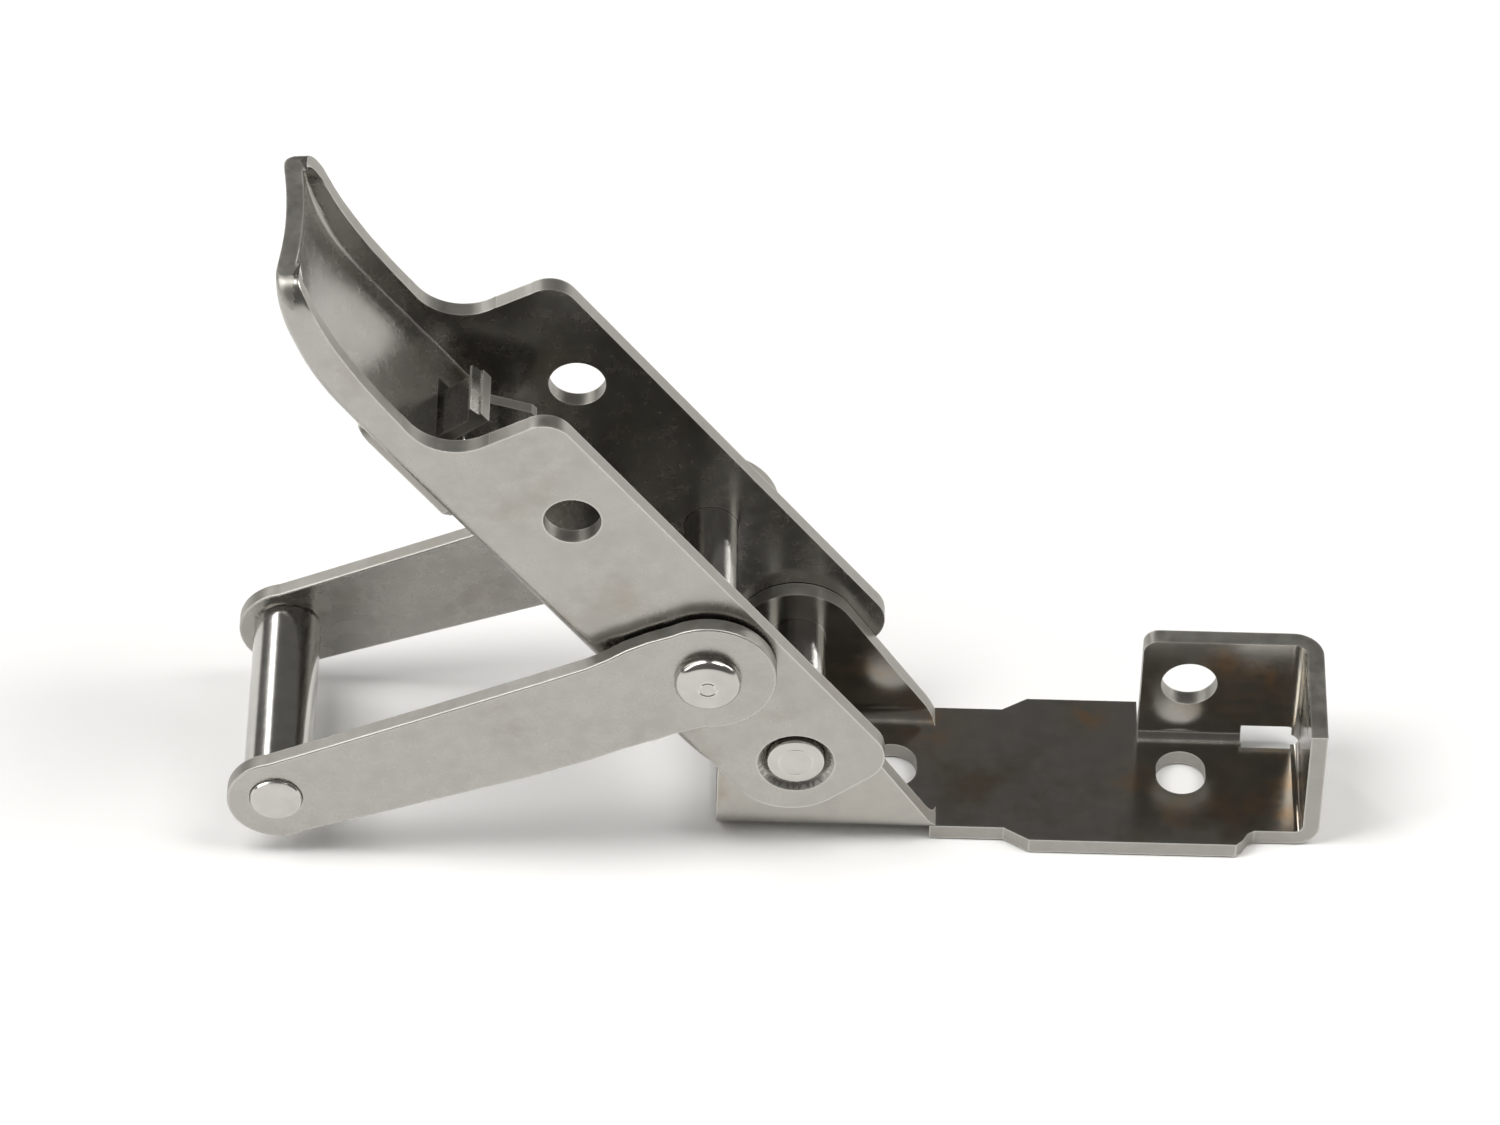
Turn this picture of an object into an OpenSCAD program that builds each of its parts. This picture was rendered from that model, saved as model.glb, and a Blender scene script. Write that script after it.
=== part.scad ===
// Toggle bolt latch: a hook-pin link pulled over centre by a channel lever,
// on a stamped base bracket with a padlock ear, with a sliding safety catch.
// Origin: middle of the two fixing slots, on the underside of the base.
// +X runs along the base away from the keeper, +Z is up off the panel.

/* [Sheet] */
// Thickness of the base, lever and link sheet
sheet_t = 2.0; // [1.8:0.1:2.2]
// Thickness of the catch sheet
catch_t = 1.5; // [1.2:0.1:1.5]

/* [Base bracket] */
// Half width of the base plate at its wide end
base_hw = 11.8; // [11.5:0.1:12.2]
// Half width of the neck beside the ears
neck_hw = 9.9; // [9.6:0.1:10.2]
// Half width over the two pivot ears
ear_hw = 10.4; // [10.3:0.05:10.45]
// Outside bend radius where the ears turn up
ear_bend_r = 4.0; // [3.4:0.1:4.4]
// Height of the end wall and the padlock ear
wall_h = 17.9; // [17.5:0.1:18]
// Distance between the two fixing slots
slot_pitch = 34.5; // [34:0.1:35]
// Width of a fixing slot along the base
slot_w = 5.9; // [5.5:0.1:6.2]
// Length of a fixing slot across the base
slot_len = 7.1; // [6.5:0.1:7.4]
// Diameter of the padlock holes
lock_hole_d = 6.7; // [6.2:0.1:7]

/* [Pivots] */
// Height of the main pivot above the panel
pivot_h = 14.62; // [14.5:0.02:14.8]
// Diameter of the main pivot pin
pivot_d = 6.8; // [6.4:0.1:7]
// Diameter of the link pin
link_d = 6.5; // [6:0.1:6.8]
// Running clearance on the radius of each pin
pin_gap = 0.05; // [0.03:0.01:0.08]

/* [Lever] */
// Half width over the lever walls
lever_hw = 12.5; // [12.4:0.05:12.6]
// Angle of the lever from the base when open
open_angle = 127.43; // [126:0.5:128]
// Angle through which the finger end curls
curl_angle = 33.5; // [31:0.5:36]

/* [Link] */
// Distance from link pin to hook pin
link_len = 54.6; // [54:0.2:55.4]
// Angle of the link from +X when the lever is open
link_angle = 202.81; // [202:0.2:203.4]
// Diameter of the hook pin between the arms
hook_d = 8.0; // [7.4:0.1:8.2]

/* [Hidden] */
$fn = 96;
e = 0.01;
t = sheet_t;

// ---- positions ----
pivot_x = -29.0;                    // main pivot, from the slot centre
lever_in = lever_hw - t;            // inner face of a lever wall
ear_in = ear_hw - t;                // inner face of a pivot ear
web_o = 9.35;                       // lever web, outer face above the pivot
web_i = web_o - t;                  // lever web, inner face
free_edge = -9.9;                   // free edge of the lever walls
link_s = 19.14;  link_n = -1.26;    // link pin in the lever's own frame
lock_s = 46.77;  lock_n = -2.2;     // padlock hole in the lever's own frame
curl_s = 76.0;                      // where the finger begins to curl
curl_r = 34.0;                      // outside radius of the curl
arm_in0 = lever_hw + 0.45;          // arm inner face beside the lever
arm_in1 = arm_in0 + 0.33;           // arm inner face at the hook end
win_lo = 43.5;  win_hi = 60.5;      // window in the lever web
win_hw = 5.65;                      // half width of the window
wall_x = 60.5;                      // inner face of the end wall, from the pivot
flange_in = 6.0;                    // inner face of the padlock ear

steel = [0.72, 0.71, 0.68];
steel_b = [0.66, 0.65, 0.62];
pin_c = [0.78, 0.77, 0.74];

// ---- placing ----
// main pivot frame, base axes
module at_pivot() translate([pivot_x, 0, pivot_h]) children();
// lever frame: X runs from the pivot to the finger, Z towards the web
module lever_frame() at_pivot() rotate([0, -open_angle, 0]) children();
// link frame: X runs from the link pin to the hook pin, Z to the lower side
module link_frame()
    lever_frame() translate([link_s, 0, link_n])
    rotate([0, open_angle - link_angle, 0]) children();
// a flat outline drawn in X,Z made into a slab between two Y values
module slab(y0, y1) translate([0, y1, 0]) rotate([90, 0, 0])
    linear_extrude(y1 - y0) children();
// round bar along Y
module bar(r, y0, y1, x = 0, z = 0) translate([x, y1, z])
    rotate([90, 0, 0]) cylinder(r = r, h = y1 - y0);

// ---- base bracket ----
function ang(v) = [cos(v), sin(v)];
slope = 56.7;                                    // ear's sloping edge
tan_r = 7.2;                                     // ear radius about the pivot
ear_tr = [tan_r * sin(slope), tan_r * cos(slope)];

module ear_outline() {
    circle(r = tan_r);
    polygon([[-9.15, -pivot_h], [-9.15, -3.57], [-6.7, 2.64], [0, 0], ear_tr,
             ear_tr + 22.2 * [cos(slope), -sin(slope)],
             [16, -pivot_h]]);
}
// cross-section of the channel with the two ears, Y across and Z up
module ear_section() {
    difference() {
        union() {
            translate([-ear_hw, ear_bend_r]) square([2 * ear_hw, 22]);
            translate([-ear_hw + ear_bend_r, 0])
                square([2 * (ear_hw - ear_bend_r), ear_bend_r + 1]);
            for (m = [-1, 1]) translate([m * (ear_hw - ear_bend_r), ear_bend_r])
                circle(r = ear_bend_r);
        }
        translate([-ear_in, ear_bend_r]) square([2 * ear_in, 23]);
        translate([-ear_in + ear_bend_r - t, t])
            square([2 * (ear_hw - ear_bend_r), ear_bend_r]);
        for (m = [-1, 1]) translate([m * (ear_hw - ear_bend_r), ear_bend_r])
            circle(r = ear_bend_r - t);
    }
}
// run a Y,Z section along X
module run_x(x0, x1) translate([x0, 0, 0]) rotate([90, 0, 90])
    linear_extrude(x1 - x0) children();

// outline of the flat base, seen from above, measured from the pivot
module base_outline() {
    polygon([[16.2, -neck_hw], [25.0, -neck_hw], [28.0, -base_hw],
             [52.6, -base_hw], [53.4, -base_hw + 0.8], [54.0, -9.9], [54.8, -9.4],
             [wall_x - 1 + e, -9.4], [wall_x - 1 + e, flange_in - 1.5],
             [41.2, flange_in - 1.5 + e], [41.2, base_hw], [28.0, base_hw],
             [25.0, neck_hw], [16.2, neck_hw]]);
}
// end wall and padlock ear: one folded strip with rounded corners
module corner_strip() {
    ri = 1.6;
    difference() {
        union() {
            translate([wall_x, -9.4]) square([t, 9.4 + flange_in - ri]);
            translate([41.2, flange_in]) square([wall_x - ri - 41.2, t]);
            translate([wall_x - ri, flange_in - ri]) circle(r = ri + t);
        }
        translate([wall_x - ri, flange_in - ri]) circle(r = ri);
        translate([40, -20]) square([wall_x - ri - 40, 20 + flange_in]);
        translate([40, -20]) square([wall_x - 40, 20 + flange_in - ri]);
    }
}
module fixing_slot() {
    translate([-slot_w / 2, -(slot_len - slot_w) / 2, -1])
        cube([slot_w, slot_len - slot_w, t + 2]);
    for (m = [-1, 1]) translate([0, m * (slot_len - slot_w) / 2, -1])
        cylinder(d = slot_w, h = t + 2);
}
module base_bracket() {
    rb = 3.0;                                    // outside bend radius at the end
    rf = 3.5;                                    // outside bend radius of the ear
    color(steel_b) translate([pivot_x, 0, 0]) difference() {
        union() {
            // pivot ears and the channel between them
            intersection() {
                run_x(-9.15, 18.2) ear_section();
                translate([0, 0, pivot_h]) slab(-12, 12) ear_outline();
            }
            // flat plate
            linear_extrude(t) base_outline();
            // end wall and padlock ear above the bends
            translate([0, 0, rb]) linear_extrude(wall_h - rb) difference() {
                corner_strip();
                translate([41, flange_in - 1]) square([12.6, 4]);
            }
            translate([41.2, flange_in, rf]) cube([12.4 + e, t, wall_h - rf]);
            // bend at the foot of the end wall
            translate([wall_x + t - rb, -9.4, rb]) rotate([-90, 0, 0])
                intersection() {
                    difference() {
                        cylinder(r = rb, h = 14.6);
                        translate([0, 0, -1]) cylinder(r = rb - t, h = 17);
                    }
                    translate([0, 0, -1]) cube([rb + 1, rb + 1, 20]);
                }
            // bend at the foot of the padlock ear
            translate([41.2, flange_in + t - rf, rf]) rotate([0, 90, 0])
                intersection() {
                    difference() {
                        cylinder(r = rf, h = 12.4);
                        translate([0, 0, -1]) cylinder(r = rf - t, h = 15);
                    }
                    translate([0, 0, -1]) cube([rf + 1, rf + 1, 20]);
                }
        }
        // outer corner of the padlock ear
        translate([41.2, 0, wall_h]) rotate([90, 0, 0]) difference() {
            translate([-1, -1.8, -9]) cube([2.8, 3, 5]);
            translate([1.8, -1.8, -10]) cylinder(r = 1.8, h = 7);
        }
        // relief where the three bends meet
        translate([53.5, 5.2, -1]) cube([6.1, 6, 5.2]);
        // fixing slots
        for (x = [29 - slot_pitch / 2, 29 + slot_pitch / 2])
            translate([x, 0, 0]) fixing_slot();
        // padlock hole
        bar(lock_hole_d / 2, 4, 10, 46.9, 11.0);
        // slot in the end wall that takes the catch's hook
        translate([59, -4.4, 13.3]) cube([5, 8.8, 2.9]);
        // pivot holes in the ears
        bar(pivot_d / 2 + 0.02, -12, 12, 0, pivot_h);
    }
}

// ---- lever ----
// side outline of the lever, X from the pivot to the finger, Y to the web
module lever_outline() {
    translate([0.6, 0.3]) circle(r = 7.8);
    translate([-2.7, free_edge + 4.3]) circle(r = 4.3);
    translate([57.7, free_edge + 3.5]) circle(r = 3.5);
    polygon([[-7.0, free_edge + 4.3], [-2.7, free_edge], [57.7, free_edge],
             [61.2, free_edge + 3.5], [61.85, -1.7], [61.85, web_o + 1],
             [9.5, web_o + 1], [9.5, 8.9], [6.0, 8.1], [0.6, 8.1], [-7.2, 0.3]]);
    difference() {
        translate([61, -1.7]) square([7.4, web_o + 2.7]);
        translate([68.3, -1.7]) circle(r = 6.4);
    }
    polygon([[68.2, 4.7], [73.3, 4.6], [79.3, 4.0], [84.4, 3.3], [89, 2.1],
             [92, 1.6], [97, 1.6], [97, web_o + 1], [68.2, web_o + 1]]);
}
// channel section: walls and web with rounded bends, Y across, web at the top
module channel_section(top, depth) {
    ro = 2.2; ri = 0.4;
    difference() {
        union() {
            translate([-lever_hw, top - depth])
                square([2 * lever_hw, depth - ro]);
            translate([-lever_hw + ro, top - depth])
                square([2 * (lever_hw - ro), depth]);
            for (m = [-1, 1]) translate([m * (lever_hw - ro), top - ro])
                circle(r = ro);
        }
        translate([-lever_in, top - depth - 1])
            square([2 * lever_in, depth + 1 - t - ri]);
        translate([-lever_in + ri, top - depth - 1])
            square([2 * (lever_in - ri), depth + 1 - t]);
        for (m = [-1, 1]) translate([m * (lever_in - ri), top - t - ri])
            circle(r = ri);
    }
}
// part of a ring about the curl's centre, from inside the straight to the tip
module curl_sector(inner) intersection() {
    difference() {
        circle(r = curl_r);
        circle(r = inner);
    }
    polygon([[0, 0], [-1.2, 40], [10, 40], 45 * ang(90 - curl_angle)]);
}
module lever() {
    color(steel) lever_frame() difference() {
        intersection() {
            union() {
                // straight channel
                run_x(-8, curl_s) channel_section(web_o, 21);
                // curled finger end: web and two walls
                translate([curl_s, 0, web_o - curl_r - 0.03]) {
                    slab(-lever_hw, lever_hw) curl_sector(curl_r - t);
                    slab(-lever_hw, -lever_in) curl_sector(curl_r - 7.5);
                    slab(lever_in, lever_hw) curl_sector(curl_r - 7.5);
                }
            }
            slab(-13, 13) lever_outline();
            // rounded corners of the finger end, seen on the web
            translate([0, 0, -12]) linear_extrude(26) {
                translate([-10, -lever_hw - 1]) square([100.8, 2 * lever_hw + 2]);
                translate([80, -lever_hw + 4.6])
                    square([17, 2 * lever_hw - 9.2]);
                for (m = [-1, 1]) translate([90.8, m * (lever_hw - 4.6)])
                    circle(r = 4.6);
            }
        }
        // the web stops short of the pivot
        translate([-12, -lever_in, 5.5]) cube([21.5, 2 * lever_in, 6]);
        // window for the catch
        translate([win_lo, -win_hw, 5]) cube([win_hi - win_lo, 2 * win_hw, 6]);
        // pivot, link and padlock holes through both walls
        bar(pivot_d / 2 + pin_gap, -13, 13);
        for (m = [0, 1]) mirror([0, m, 0]) translate([0, lever_hw + e, 0])
            rotate([90, 0, 0]) cylinder(r1 = 4.56, r2 = pivot_d / 2 + pin_gap, h = 1.15);
        bar(link_d / 2 + pin_gap, -13, 13, link_s, link_n);
        bar(lock_hole_d / 2, -13, 13, lock_s, lock_n);
    }
}

// ---- link ----
// side outline of an arm, X to the hook pin, Y to its lower edge
module arm_blank() {
    bar(8.0, 12, 17);
    bar(6.0, 12, 17, link_len, 0.5);
    slab(12, 17) polygon([[-2, 0], [3.0, 7.3], [10.5, 6.9], [14.0, 7.0], [17.5, 7.3],
             [24.5, 7.4], [38.6, 6.9], [link_len + 0.3, 6.35],
             [link_len + 0.3, -5.35], [link_len - 6, -5.5], [33, -6.0], [18.8, -6.5],
             [12.4, -6.8], [8.8, -7.4], [4.6, -7.85], [0.6, -7.9]]);
}
// an arm seen from above: joggled outwards past the lever's lower end
module arm_plan() polygon([[-9, arm_in0], [7.6, arm_in0], [9.6, arm_in1],
    [62, arm_in1], [62, arm_in1 + t], [9.2, arm_in1 + t], [7.2, arm_in0 + t],
    [-9, arm_in0 + t]]);
module arm() {
    difference() {
        intersection() {
            union() arm_blank();
            translate([0, 0, -9]) linear_extrude(18) arm_plan();
        }
        bar(link_d / 2 + 0.02, 12, 17);
        bar(3.02, 12, 17, link_len, 0);
    }
}
module link_arm_rear() color(steel) link_frame() arm();
module link_arm_front() color(steel) link_frame() mirror([0, 1, 0]) arm();

// a low rivet head: flat dome of radius r standing h above a face
module rivet_head(r, h) rotate_extrude() polygon([[0, 0], [r, 0], [r, h * 0.35],
    [r * 0.96, h * 0.62], [r * 0.86, h * 0.82], [r * 0.7, h * 0.94],
    [r * 0.45, h], [0, h]]);
module hook_pin() color(pin_c) link_frame() translate([link_len, 0, 0]) {
    bar(hook_d / 2, -arm_in1 + 0.02, arm_in1 - 0.02);
    bar(3.0, -arm_in1 - t - 0.2, arm_in1 + t + 0.2);
    for (m = [0, 1]) mirror([0, m, 0]) translate([0, arm_in1 + t, 0])
        rotate([-90, 0, 0]) rivet_head(3.1, 0.75);
}
module link_pin() color(pin_c) link_frame() {
    bar(link_d / 2, -arm_in0 - t - 0.3, arm_in0 + t + 0.3);
    for (m = [0, 1]) mirror([0, m, 0]) translate([0, arm_in0 + t, 0])
        rotate([-90, 0, 0]) rivet_head(3.9, 1.75);
}
module pivot_pin() color(pin_c) at_pivot()
    bar(pivot_d / 2, -lever_hw + 0.1, lever_hw - 0.1);

// ---- safety catch ----
cp_o = web_o + 0.1;                  // underside of the catch plate
hook_s = 59.85;                      // hook face of the catch
module safety_catch() color(steel) lever_frame() difference() {
    union() {
        // plate that lies on the outside of the web
        translate([0, 0, cp_o]) linear_extrude(catch_t) {
            polygon([[46.2, -5.4], [51.6, -5.4], [52.6, -8.6], [54.2, -9.7],
                     [68.2, -9.7], [68.2, 9.7], [54.2, 9.7], [52.6, 8.6],
                     [51.6, 5.4], [46.2, 5.4]]);
            translate([68.0, -6.9]) square([2.8, 13.8]);
            for (m = [-1, 1]) translate([68.0, m * 6.9]) circle(r = 2.8);
        }
        // two cheeks through the window
        for (m = [0, 1]) mirror([0, m, 0])
            slab(5.4 - catch_t, 5.4) polygon([[46.2, cp_o + e], [47.0, 5.2],
                [49.4, 1.5], [50.2, 0.9], [51.0, 1.0], [56.9, 5.4], [57.6, 6.6],
                [57.6, cp_o + e]]);
        // hook tab
        slab(-3.7, 3.7) polygon([[hook_s - catch_t, cp_o + e],
            [hook_s - catch_t, 1.3], [hook_s, 1.3], [hook_s, 1.6],
            [hook_s + 1.3, 1.9], [hook_s + 1.3, 2.2], [hook_s, 3.2],
            [hook_s, cp_o + e]]);
    }
    // the plate is open where the tab was folded out of it
    translate([hook_s, -3.9, cp_o - 1]) cube([7.2, 7.8, catch_t + 3]);
    bar(1.02, -7, 7, 49.0, 6.1);
}
// cross pin that keeps the catch in the window
module catch_pin() color(pin_c) lever_frame()
    bar(1.0, -8.2, 8.2, 49.0, 6.1);

// compression spring along the lever: closed coils joined by a thin wall
spring_r = 0.85;  wire_r = 0.2;  spring_n = 8.3;  turns = 12;
spring_s0 = win_lo + 0.03;
spring_s1 = hook_s - catch_t - 0.03;
pitch = (spring_s1 - spring_s0 - 2 * wire_r) / (turns - 1);
module catch_spring() color(pin_c) lever_frame()
    translate([spring_s0 + wire_r, 0, spring_n]) rotate([0, 90, 0])
    rotate_extrude($fn = 48) {
        for (i = [0 : turns - 1]) translate([spring_r, i * pitch])
            circle(r = wire_r, $fn = 24);
        translate([spring_r - 0.06, 0]) square([0.12, (turns - 1) * pitch]);
    }

base_bracket();
lever();
link_arm_front();
link_arm_rear();
hook_pin();
link_pin();
pivot_pin();
safety_catch();
catch_pin();
catch_spring();
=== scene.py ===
import math
import random

import bmesh
import bpy
from mathutils import Matrix, Vector
from mathutils.bvhtree import BVHTree


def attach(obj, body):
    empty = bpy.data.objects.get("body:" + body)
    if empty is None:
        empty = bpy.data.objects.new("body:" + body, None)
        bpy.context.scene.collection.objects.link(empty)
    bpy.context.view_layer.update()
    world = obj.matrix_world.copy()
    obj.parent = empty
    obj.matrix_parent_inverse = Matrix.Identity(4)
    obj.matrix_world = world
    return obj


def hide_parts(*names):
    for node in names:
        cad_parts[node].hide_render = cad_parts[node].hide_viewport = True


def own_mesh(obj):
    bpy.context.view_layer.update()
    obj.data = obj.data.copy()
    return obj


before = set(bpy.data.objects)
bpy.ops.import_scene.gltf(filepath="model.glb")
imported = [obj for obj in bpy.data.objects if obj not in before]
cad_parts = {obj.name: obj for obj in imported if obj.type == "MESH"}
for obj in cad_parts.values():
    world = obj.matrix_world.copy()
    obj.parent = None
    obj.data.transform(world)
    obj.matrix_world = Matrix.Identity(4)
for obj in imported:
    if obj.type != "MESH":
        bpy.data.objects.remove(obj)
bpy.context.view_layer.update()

random.seed(7)
scene = bpy.context.scene
MM = 0.001
for stray in ("Cube", "Light", "Camera"):
    o = bpy.data.objects.get(stray)
    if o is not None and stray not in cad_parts:
        bpy.data.objects.remove(o)

# ---------------------------------------------------------------- frames
PIVOT = Vector((-29.0, 0, 14.62)) * MM
OPEN = math.radians(127.43)
LINK = math.radians(202.81)
P1 = (19.14, -1.26)
LINK_LEN = 54.6


def about_y(deg):
    return Matrix.Rotation(deg, 4, "Y")


LEVER_M = Matrix.Translation(PIVOT) @ about_y(-OPEN)
LINK_M = LEVER_M @ Matrix.Translation(Vector((P1[0], 0, P1[1])) * MM) @ about_y(OPEN - LINK)
PIVOT_M = Matrix.Translation(PIVOT)


# ---------------------------------------------------------------- mesh helpers
def link_mesh(name, me):
    ob = bpy.data.objects.new(name, me)
    scene.collection.objects.link(ob)
    return ob


def set_shading(me, angle=38):
    for p in me.polygons:
        co = [me.vertices[v].co for v in p.vertices]
        around = sum((a - b).length for a, b in zip(co, co[1:] + co[:1]))
        # wide flat faces stay dead flat, bends and broken edges are smooth
        p.use_smooth = not (p.area > 3e-6 and p.area / (around * around) > 0.006)
    bm = bmesh.new()
    bm.from_mesh(me)
    for e in bm.edges:
        if len(e.link_faces) == 2:
            e.smooth = e.calc_face_angle(0.0) < math.radians(angle)
        else:
            e.smooth = False
    bm.to_mesh(me)
    bm.free()


def mark_cut_faces(bm, skin):
    """Faces on the sheared edge of the sheet take the second material: behind them lies more than the sheet's thickness."""
    tree = BVHTree.FromBMesh(bm)
    best = {}
    for tri in bm.calc_loop_triangles():
        f = tri[0].face
        a, b, c = (l.vert.co for l in tri)
        area = (b - a).cross(c - a).length
        if area > best.get(f.index, (0,))[0]:
            best[f.index] = (area, (a + b + c) / 3)
    for f in bm.faces:
        if f.index not in best:
            continue
        n = f.normal
        hit = tree.ray_cast(best[f.index][1] - n * 2e-5, -n)
        f.material_index = 0 if hit[0] is not None and hit[3] < skin * MM else 1


def even_normals(ob):
    wn = ob.modifiers.new("even", "WEIGHTED_NORMAL")
    wn.keep_sharp = True
    wn.weight = 100
    wn.mode = "FACE_AREA"


def finished(node, name, width, body, mat, segments=3, after=None, skin=2.35):
    """A copy of a CAD node's shape with its sheared edges broken."""
    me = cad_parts[node].data.copy()
    me.name = name
    me.materials.clear()
    bm = bmesh.new()
    bm.from_mesh(me)
    bmesh.ops.remove_doubles(bm, verts=bm.verts, dist=2e-6)
    bmesh.ops.dissolve_limit(bm, angle_limit=math.radians(0.15), verts=bm.verts, edges=bm.edges,
                             use_dissolve_boundaries=False)
    sharp = [e for e in bm.edges if len(e.link_faces) == 2 and e.calc_face_angle(0.0) > math.radians(33)]
    bmesh.ops.bevel(bm, geom=sharp, offset=width * MM, offset_type="OFFSET", segments=segments,
                    profile=0.5, affect="EDGES", clamp_overlap=True)
    if after:
        after(bm)
    bm.faces.ensure_lookup_table()
    bm.faces.index_update()
    bm.normal_update()
    mark_cut_faces(bm, skin)
    bm.to_mesh(me)
    bm.free()
    set_shading(me)
    ob = link_mesh(name, me)
    ob.data.materials.append(mat)
    ob.data.materials.append(M_CUT)
    even_normals(ob)
    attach(ob, body)
    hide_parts(node)
    return ob


def lathe(profile, matrix, segments=96):
    """Solid of revolution about Y from (radius, y) pairs in mm, run from one end to the other."""
    bm = bmesh.new()
    rings = []
    for r, y in profile:
        if r < 1e-6:
            rings.append([bm.verts.new((0, y * MM, 0))])
        else:
            rings.append([bm.verts.new((r * MM * math.cos(2 * math.pi * k / segments), y * MM,
                                        r * MM * math.sin(2 * math.pi * k / segments))) for k in range(segments)])
    for a, b in zip(rings, rings[1:]):
        for k in range(segments):
            j = (k + 1) % segments
            if len(a) == 1:
                bm.faces.new((a[0], b[j], b[k]))
            elif len(b) == 1:
                bm.faces.new((a[k], a[j], b[0]))
            else:
                bm.faces.new((a[k], a[j], b[j], b[k]))
    bmesh.ops.recalc_face_normals(bm, faces=bm.faces)
    bm.transform(matrix)
    return bm


def piece(bm, name, body, mat, replaces=()):
    me = bpy.data.meshes.new(name)
    bm.to_mesh(me)
    bm.free()
    set_shading(me, 30)
    me.materials.append(mat)
    ob = link_mesh(name, me)
    even_normals(ob)
    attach(ob, body)
    if replaces:
        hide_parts(*replaces)
    return ob


# ---------------------------------------------------------------- materials
def steel(name, base, rough, tint=0.0, grain=(1, 1, 1), dents=0.14, scratches=0.35, seed=0.0, heat=None):
    """Stainless steel: tumbled satin surface, soft dents, fine scratches, edges lightened in the base colour (part
    rubbed wear, part painted highlight), brown heat tint.
    """
    m = bpy.data.materials.new(name)
    m.use_nodes = True
    nt = m.node_tree
    nodes, links = nt.nodes, nt.links
    bsdf = nodes["Principled BSDF"]
    bsdf.inputs["Metallic"].default_value = 1.0
    co = nodes.new("ShaderNodeTexCoord")
    mp = nodes.new("ShaderNodeMapping")
    mp.inputs["Location"].default_value = (seed, seed * 0.7, -seed)
    links.new(co.outputs["Object"], mp.inputs["Vector"])

    def noise(scale, detail=4, rough_=0.55, vec=None, stretch=None):
        n = nodes.new("ShaderNodeTexNoise")
        n.inputs["Scale"].default_value = scale
        n.inputs["Detail"].default_value = detail
        n.inputs["Roughness"].default_value = rough_
        src = mp.outputs["Vector"]
        if stretch:
            s = nodes.new("ShaderNodeMapping")
            s.inputs["Scale"].default_value = stretch
            links.new(src, s.inputs["Vector"])
            src = s.outputs["Vector"]
        links.new(src, n.inputs["Vector"])
        return n.outputs["Fac"]

    def ramp(fac, lo, hi, a=(0, 0, 0, 1), b=(1, 1, 1, 1)):
        r = nodes.new("ShaderNodeValToRGB")
        r.color_ramp.elements[0].position = lo
        r.color_ramp.elements[0].color = a
        r.color_ramp.elements[1].position = hi
        r.color_ramp.elements[1].color = b
        links.new(fac, r.inputs["Fac"])
        return r.outputs["Color"]

    def mix(fac, a, b, kind="MIX"):
        x = nodes.new("ShaderNodeMix")
        x.data_type = "RGBA"
        x.blend_type = kind
        if isinstance(fac, float):
            x.inputs["Factor"].default_value = fac
        else:
            links.new(fac, x.inputs["Factor"])
        for sock, val in ((x.inputs[6], a), (x.inputs[7], b)):
            if isinstance(val, tuple):
                sock.default_value = val
            else:
                links.new(val, sock)
        return x.outputs[2]

    big = noise(90, 5)
    mid = noise(420, 6)
    fine = noise(2600, 8, 0.62)
    streak = noise(900, 5, 0.6, stretch=grain)
    # colour: clean steel, duller patches, heat tint
    col = mix(ramp(big, 0.35, 0.7), base + (1,), tuple(c * 0.86 for c in base) + (1,))
    col = mix(ramp(mid, 0.36, 0.72), col, tuple(min(1, c * 1.05) for c in base) + (1,))
    if heat is not None:
        # brown bloom along the bend at the end wall and round the rear slot
        for centre_, reach in heat:
            dist = nodes.new("ShaderNodeVectorMath")
            dist.operation = "DISTANCE"
            links.new(co.outputs["Object"], dist.inputs[0])
            dist.inputs[1].default_value = tuple(c * MM for c in centre_)
            near = ramp(dist.outputs["Value"], reach * 0.35 * MM, reach * MM, (0.9, 0.9, 0.9, 1), (0, 0, 0, 1))
            cut = nodes.new("ShaderNodeMath")
            cut.operation = "MULTIPLY"
            links.new(near, cut.inputs[0])
            links.new(ramp(mid, 0.38, 0.62), cut.inputs[1])
            col = mix(cut.outputs[0], col, (0.52, 0.35, 0.20, 1))
    if tint:
        spots = ramp(big, 0.56, 0.72, (0, 0, 0, 1), (tint, tint, tint, 1))
        col = mix(spots, col, (0.27, 0.19, 0.12, 1))
    # edges lightened in the base colour: part rubbed wear, part painted highlight standing in for light glinting along
    # the edges
    geo = nodes.new("ShaderNodeNewGeometry")
    bev = nodes.new("ShaderNodeBevel")
    bev.samples = 4
    bev.inputs["Radius"].default_value = 0.00035
    dot = nodes.new("ShaderNodeVectorMath")
    dot.operation = "DOT_PRODUCT"
    links.new(bev.outputs["Normal"], dot.inputs[0])
    links.new(geo.outputs["Normal"], dot.inputs[1])
    edge = ramp(dot.outputs["Value"], 0.93, 0.995, (0.8, 0.8, 0.8, 1), (0, 0, 0, 1))
    # painted edge highlight mixed into the base colour
    col = mix(edge, col, (0.70, 0.69, 0.66, 1))
    links.new(col, bsdf.inputs["Base Color"])
    # roughness
    r1 = nodes.new("ShaderNodeMapRange")
    r1.inputs["To Min"].default_value = rough * 0.72
    r1.inputs["To Max"].default_value = rough * 1.35
    links.new(mid, r1.inputs["Value"])
    r2 = nodes.new("ShaderNodeMath")
    r2.operation = "MULTIPLY_ADD"
    links.new(streak, r2.inputs[0])
    r2.inputs[1].default_value = rough * 0.5
    links.new(r1.outputs["Result"], r2.inputs[2])
    links.new(r2.outputs[0], bsdf.inputs["Roughness"])
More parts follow.
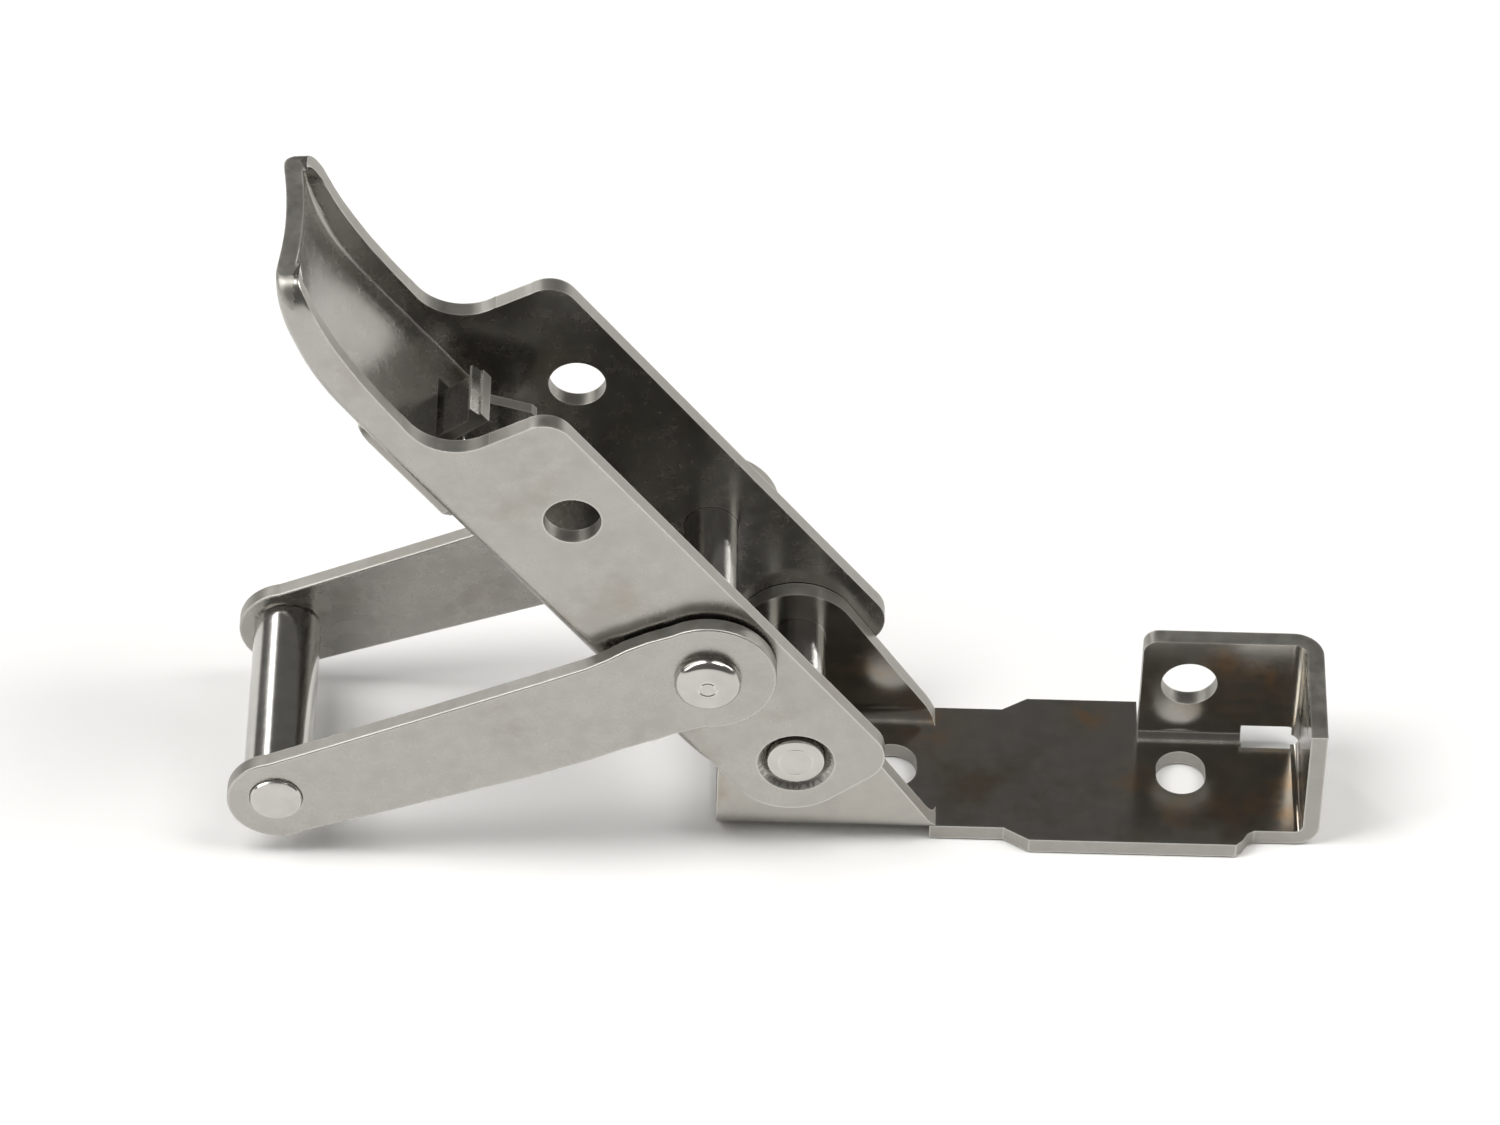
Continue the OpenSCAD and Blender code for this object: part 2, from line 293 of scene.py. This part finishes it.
    # bump: tumbling dents, then grain
    b1 = nodes.new("ShaderNodeBump")
    b1.inputs["Strength"].default_value = dents
    b1.inputs["Distance"].default_value = 0.00006
    links.new(mid, b1.inputs["Height"])
    b2 = nodes.new("ShaderNodeBump")
    b2.inputs["Strength"].default_value = scratches
    b2.inputs["Distance"].default_value = 0.000012
    links.new(streak, b2.inputs["Height"])
    links.new(b1.outputs["Normal"], b2.inputs["Normal"])
    b3 = nodes.new("ShaderNodeBump")
    b3.inputs["Strength"].default_value = 0.15
    b3.inputs["Distance"].default_value = 0.000008
    links.new(fine, b3.inputs["Height"])
    links.new(b2.outputs["Normal"], b3.inputs["Normal"])
    links.new(b3.outputs["Normal"], bsdf.inputs["Normal"])
    return m


M_LEVER = steel("lever_steel", (0.40, 0.39, 0.365), 0.20, tint=0.25, grain=(1.0, 0.25, 1.0), seed=0.013)
M_BRACKET = steel("bracket_steel", (0.40, 0.385, 0.355), 0.15, tint=0.55, grain=(0.25, 1.0, 1.0), seed=0.041,
                  heat=[((28.6, 2.5, 2), 3.6), ((28.8, -2.5, 2), 3.4), ((28.6, -6.5, 2), 2.8), ((11.8, -1.5, 2), 3.6),
                        ((17.0, -6.6, 2), 3.4), ((23.5, -5.5, 2), 3.0), ((27.5, 6, 12), 4.0), ((24.0, 6, 7.5), 3.2),
                        ((22.0, 6, 14.5), 3.0), ((-21.5, 7.5, 8.5), 4.5), ((-13.0, 6.5, 2.0), 4.5), ((6, 9, 2), 3.0)])
M_ARM = steel("arm_steel", (0.40, 0.39, 0.365), 0.21, tint=0.25, grain=(0.3, 1.0, 1.0), seed=0.077)
M_CATCH = steel("catch_steel", (0.40, 0.39, 0.365), 0.21, tint=0.15, seed=0.093)
M_PIN = steel("pin_steel", (0.52, 0.51, 0.485), 0.14, grain=(1.0, 6.0, 1.0), dents=0.12, scratches=0.5, seed=0.121)
M_CUT = steel("sheared_edge_steel", (0.36, 0.35, 0.325), 0.34, tint=0.12, grain=(0.6, 0.6, 3.0), dents=0.5, scratches=1.0, seed=0.177)
M_SPRING = steel("spring_steel", (0.5, 0.49, 0.475), 0.2, seed=0.151, dents=0.05)

# ---------------------------------------------------------------- sheet parts
finished("base_bracket", "bracket_body", 0.16, "bracket", M_BRACKET)


# the finger end: a channel whose walls grow low and whose corners open out into a spoon
JOIN = 70.0
CURL_S, CURL_N, CURL_R, CURL = 76.0, -24.68, 34.0, 33.0


def lerp_table(tab, x):
    if x <= tab[0][0]:
        return tab[0][1]
    for (a, u), (b, v) in zip(tab, tab[1:]):
        if x <= b:
            f = (x - a) / (b - a)
            return u + (v - u) * f
    return tab[-1][1]


def section(hw, rw, re, rc, thick, crown):
    """Closed outline (y, r) of the channel at one station."""
    def run(h, w, c, lip):
        pts = []
        for k in range(6):
            pts.append((-h, re + lip + (w - c - re - lip) * k / 6))
        for k in range(13):
            a = math.radians(180 - 90 * k / 12)
            pts.append((-h + c + c * math.cos(a), w - c + c * math.sin(a)))
        flat = h - c
        mid = [(-flat + 2 * flat * k / 10, w) for k in range(1, 10)]
        full = pts + mid + [(-y, r) for y, r in reversed(pts)]
        return [(y, r - crown * max(0.0, 1 - (y / hw) ** 2)) for y, r in full]
    b = 0.18
    outer = run(hw, rw, rc, b)
    inner = run(hw - thick, rw - thick, max(rc - thick, 0.35), min(b, max(0.02, (rw - thick - 0.35 - re) * 0.5)))
    # soften the two free edges
    left = [(-hw + thick - b * 0.3, re + b * 0.3), (-hw + thick - b, re), (-hw + b, re), (-hw + b * 0.3, re + b * 0.3)]
    right = [(-y, r) for y, r in reversed(left)]
    return outer + right + list(reversed(inner)) + left


def add_finger(bm):
    inv = LEVER_M.inverted()
    bm.transform(inv)
    geom = list(bm.verts) + list(bm.edges) + list(bm.faces)
    bmesh.ops.bisect_plane(bm, geom=geom, plane_co=(JOIN * MM, 0, 0), plane_no=(1, 0, 0), clear_outer=True)
    rim = [e for e in bm.edges if e.is_boundary]
    bmesh.ops.holes_fill(bm, edges=rim, sides=0)
    stations = []
    edge_tab = [(70, 29.28), (73, 29.22), (76, 29.05), (79.9, 28.95), (83, 29.05), (86, 29.3), (89, 29.6),
                (91.4, 29.95), (93.4, 30.45), (95.0, 31.0), (96.6, 31.5)]
    corner_tab = [(70, 2.2), (74, 2.3), (80, 2.6), (86, 2.9), (91, 2.4), (96.6, 1.2)]
    total = CURL_S - JOIN + CURL_R * math.radians(CURL)
    n = 64
    for i in range(n + 1):
        d = total * (1 - (1 - i / n) ** 1.25)
        s_arc = JOIN + d
        left_over = total - d
        hw = 12.5
        if left_over < 5.0:
            x = 5.0 - left_over
            hw = 12.5 - 5.0 + math.sqrt(max(0.0, 25.0 - x * x)) * 0.55 + 5.0 * 0.45
        re = lerp_table(edge_tab, s_arc)
        rc = min(lerp_table(corner_tab, s_arc), CURL_R - re - 0.5)
        bow = 0.9 * max(0.0, 1 - left_over / 9.0) ** 2
        stations.append((s_arc, section(hw, CURL_R, re, rc, 2.0, bow)))
    rings = []
    for s_arc, pts in stations:
        ring = []
        if s_arc <= CURL_S:
            for y, r in pts:
                ring.append(bm.verts.new((s_arc * MM, y * MM, (CURL_N + 0.03 + r) * MM)))
        else:
            phi = (s_arc - CURL_S) / CURL_R
            for y, r in pts:
                # the middle of the finger is pressed back a little
                ring.append(bm.verts.new(((CURL_S + r * math.sin(phi)) * MM, y * MM,
                                          (CURL_N + 0.03 + r * math.cos(phi)) * MM)))
        rings.append(ring)
    m = len(rings[0])
    for a, b in zip(rings, rings[1:]):
        for k in range(m):
            j = (k + 1) % m
            bm.faces.new((a[k], a[j], b[j], b[k]))
    half_n = 6 + 13 + 9 + 19
    # end caps as strips between the outer and the inner run
    def cap(ring, flip):
        outer = ring[:half_n]
        inner = list(reversed(ring[half_n + 4:half_n * 2 + 4]))
        for k in range(half_n - 1):
            f = (outer[k], outer[k + 1], inner[k + 1], inner[k])
            bm.faces.new(f if flip else tuple(reversed(f)))
        left = ring[half_n * 2 + 4:]
        right_ = ring[half_n:half_n + 4]
        for f in ([inner[0]] + left + [outer[0]], [outer[-1]] + right_ + [inner[-1]]):
            bm.faces.new(f if flip else tuple(reversed(f)))
    cap(rings[0], True)
    cap(rings[-1], False)
    tip = set(rings[-1])
    tip_edges = [e for e in bm.edges if e.verts[0] in tip and e.verts[1] in tip
                 and any(all(v in tip for v in f.verts) for f in e.link_faces)
                 and not all(all(v in tip for v in f.verts) for f in e.link_faces)]
    bmesh.ops.bevel(bm, geom=tip_edges, offset=0.3 * MM, offset_type="OFFSET", segments=3, profile=0.5,
                    affect="EDGES", clamp_overlap=True)
    bmesh.ops.recalc_face_normals(bm, faces=bm.faces)
    bm.transform(LEVER_M)


finished("lever", "lever_channel", 0.18, "lever_body", M_LEVER, after=add_finger)
finished("link_arm_front", "front_link_arm", 0.22, "link", M_ARM)
finished("link_arm_rear", "rear_link_arm", 0.22, "link", M_ARM)
finished("safety_catch", "catch_plate", 0.12, "catch_body", M_CATCH, skin=1.75)


# ---------------------------------------------------------------- pins
def dome(face, r, h, dimple):
    """Half of a pin's head from its rim to the axis, y measured outwards from the arm face."""
    pts = [(r - 0.12, face), (r, face + 0.14), (r, face + h * 0.34)]
    for k in range(1, 9):
        a = math.radians(90 * k / 9)
        pts.append((r - 1.15 * (1 - math.cos(a)), face + h * 0.34 + (h * 0.60) * math.sin(a)))
    top = pts[-1][0]
    for k in range(1, 5):
        f = k / 4
        pts.append((top + (dimple + 0.12 - top) * f, face + h * (0.94 + 0.055 * math.sin(f * math.pi / 2))))
    pts += [(dimple, face + h * 0.985), (dimple - 0.1, face + h * 0.93), (dimple - 0.22, face + h * 0.93),
            (dimple - 0.32, face + h * 0.975), (0.0, face + h * 0.985)]
    return pts


def two_ended(half):
    """Profile for both ends: half is listed from the middle outwards to the axis."""
    return [(r, -y) for r, y in reversed(half)] + [(r, y) for r, y in half]


ARM0, ARM1, T = 12.95, 13.28, 2.0
half = [(3.25, 5.0), (3.25, ARM0 + T)] + dome(ARM0 + T, 3.9, 1.74, 1.15)
piece(lathe(two_ended(half), LINK_M), "headed_link_pin", "link", M_PIN, ["link_pin"])
half = [(4.0, 5.0), (4.0, ARM1 - 0.35), (3.8, ARM1 - 0.08), (3.0, ARM1 - 0.08), (3.0, ARM1 + T)]
half += [(3.08, ARM1 + T + 0.02), (3.08, ARM1 + T + 0.28), (2.95, ARM1 + T + 0.47), (2.6, ARM1 + T + 0.62),
         (2.1, ARM1 + T + 0.70), (1.4, ARM1 + T + 0.735), (0.0, ARM1 + T + 0.74)]
piece(lathe(two_ended(half), LINK_M @ Matrix.Translation((LINK_LEN * MM, 0, 0))), "hook_bar", "link",
      M_PIN, ["hook_pin"])
E_ = 12.4
half = [(3.4, 4.0), (3.4, E_ - 0.28), (3.31, E_ - 0.1), (3.12, E_), (2.1, E_), (2.0, E_ - 0.05), (1.9, E_), (0.0, E_)]
piece(lathe(two_ended(half), PIVOT_M), "main_pivot_pin", "bracket", M_PIN, ["pivot_pin"])
half = [(1.0, 3.0), (1.0, 8.05), (0.86, 8.2), (0.0, 8.2)]
piece(lathe(two_ended(half), LEVER_M @ Matrix.Translation(Vector((49.0, 0, 6.1)) * MM), 48), "catch_cross_pin",
      "catch_body", M_PIN, ["catch_pin"])


# ---------------------------------------------------------------- spring
def spring():
    s0, s1, R, w, n0 = 43.53, 58.32, 0.8, 0.2, 8.3
    turns, per, sides = 10, 28, 10
    bm = bmesh.new()
    total = turns * per
    rings = []
    for i in range(total + 1):
        u = i / total
        # closed end coils, even pitch between
        f = min(1.0, max(0.0, (u - 0.08) / 0.84))
        s = s0 + w + 0.15 + (s1 - s0 - 2 * w - 0.3) * (0.03 * min(u / 0.08, 1) + 0.94 * f + 0.03 * max(0, (u - 0.92) / 0.08))
        a = 2 * math.pi * turns * u
        c = Vector((s, R * math.cos(a), n0 + R * math.sin(a)))
        out = Vector((0, math.cos(a), math.sin(a)))
        rings.append([bm.verts.new((c + w * (math.cos(2 * math.pi * k / sides) * out
                                             + math.sin(2 * math.pi * k / sides) * Vector((1, 0, 0)))) * MM)
                      for k in range(sides)])
    for a, b in zip(rings, rings[1:]):
        for k in range(sides):
            j = (k + 1) % sides
            bm.faces.new((a[k], a[j], b[j], b[k]))
    bm.faces.new(rings[0])
    bm.faces.new(list(reversed(rings[-1])))
    bmesh.ops.recalc_face_normals(bm, faces=bm.faces)
    bm.transform(LEVER_M)
    ob = piece(bm, "coil_spring", "lever_body", M_SPRING, ["catch_spring"])
    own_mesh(ob)


spring()

# ---------------------------------------------------------------- floor, light and camera
bm = bmesh.new()
bmesh.ops.create_grid(bm, x_segments=1, y_segments=1, size=1.6)
me = bpy.data.meshes.new("floor")
bm.to_mesh(me)
bm.free()
floor = link_mesh("floor", me)
floor.location = (0, 0.25, -0.0002)
fm = bpy.data.materials.new("floor_white")
fm.use_nodes = True
fm.node_tree.nodes["Principled BSDF"].inputs["Base Color"].default_value = (0.93, 0.93, 0.93, 1)
fm.node_tree.nodes["Principled BSDF"].inputs["Roughness"].default_value = 0.9
fm.node_tree.nodes["Principled BSDF"].inputs["Specular IOR Level"].default_value = 0.1
me.materials.append(fm)

world = bpy.data.worlds.new("studio")
scene.world = world
world.use_nodes = True
world.node_tree.nodes["Background"].inputs["Color"].default_value = (0.95, 0.92, 0.88, 1)
world.node_tree.nodes["Background"].inputs["Strength"].default_value = 0.16


def soft_box(name, loc, size, power, target=(-0.03, 0, 0.03), colour=(1, 0.99, 0.97)):
    li = bpy.data.lights.new(name, "AREA")
    li.shape = "RECTANGLE"
    li.size, li.size_y = size
    li.energy = power
    li.color = colour
    ob = bpy.data.objects.new(name, li)
    scene.collection.objects.link(ob)
    ob.location = loc
    d = Vector(target) - Vector(loc)
    ob.rotation_euler = d.to_track_quat("-Z", "Y").to_euler()
    return ob


soft_box("top_left_box", (-0.46, -0.10, 0.92), (0.40, 0.55), 5.0)
soft_box("top_right_box", (0.46, -0.10, 0.92), (0.40, 0.55), 4.6)
soft_box("left_box", (-0.85, -0.25, 0.55), (0.35, 0.7), 3.5)
soft_box("right_box", (0.85, 0.1, 0.5), (0.25, 0.6), 2.0)

soft_box("back_left_strip", (-0.50, 0.62, 0.40), (0.07, 0.5), 0.8)
soft_box("back_right_strip", (0.62, 0.60, 0.22), (0.05, 0.35), 0.5)

el, az, roll = math.radians(44.13), math.radians(-0.742), math.radians(1.985)
back = Vector((math.sin(az) * math.cos(el), -math.cos(az) * math.cos(el), math.sin(el)))
right = Vector((math.cos(az), math.sin(az), 0))
up = back.cross(right)
cr, sr = math.cos(roll), math.sin(roll)
rx = cr * right + sr * up
ry = -sr * right + cr * up
centre = (rx * -5.159 + ry * 25.351 + back * 1056.17) + Vector((-29.0, 0, 0))
cam = bpy.data.cameras.new("camera")
cam.sensor_width = 36.0
cam.lens = 36.0 * 8832 / 1500
cam.clip_start, cam.clip_end = 0.05, 20
camera = bpy.data.objects.new("camera", cam)
scene.collection.objects.link(camera)
rot = Matrix((rx, ry, back)).transposed().to_4x4()
camera.matrix_world = Matrix.Translation(centre * MM) @ rot
scene.camera = camera
scene.view_settings.view_transform = "Standard"
